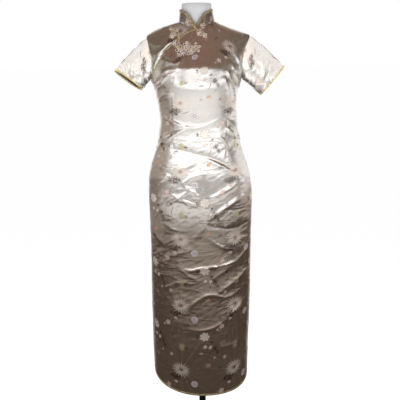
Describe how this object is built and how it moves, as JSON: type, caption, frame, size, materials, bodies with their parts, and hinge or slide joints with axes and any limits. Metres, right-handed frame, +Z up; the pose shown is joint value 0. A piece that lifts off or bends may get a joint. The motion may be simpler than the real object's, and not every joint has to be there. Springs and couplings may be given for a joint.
{
  "type": "cheongsam dress on a dress form",
  "caption": "Long fitted brocade dress with a mandarin collar, slanted front opening, short sleeves and side slits, standing on a limbless dress form with a pole and a round base.",
  "frame": {"origin": "centre of the stand's round base, on its underside, where it rests on the floor", "axes": "+Z up along the pole, -Y towards the front of the dress, -X towards the wearer's right"},
  "size_m": [0.6123, 0.32, 1.6],
  "materials": {
    "brocade": "champagne satin brocade woven with small flowers",
    "binding_satin": "old-gold satin bias binding",
    "gold_cord": "metallic gold cord, coiled and stitched",
    "form_cover": "smooth matt white",
    "black_steel": "satin black paint"
  },
  "bodies": {
    "root": {"front_panel": "brocade", "under_flap": "brocade", "back_panel": "brocade", "sleeve_right": "brocade", "sleeve_left": "brocade", "collar": "brocade", "collar_binding": "binding_satin", "opening_binding": "binding_satin", "cuff_binding_right": "binding_satin", "cuff_binding_left": "binding_satin", "front_hem_binding": "binding_satin", "back_hem_binding": "binding_satin", "collar_frog_right": "gold_cord", "collar_frog_left": "gold_cord", "chest_frog_right": "gold_cord", "chest_frog_left": "gold_cord", "form_torso": "form_cover", "form_pole": "black_steel", "form_base": "black_steel"}
  },
  "joints": []
}
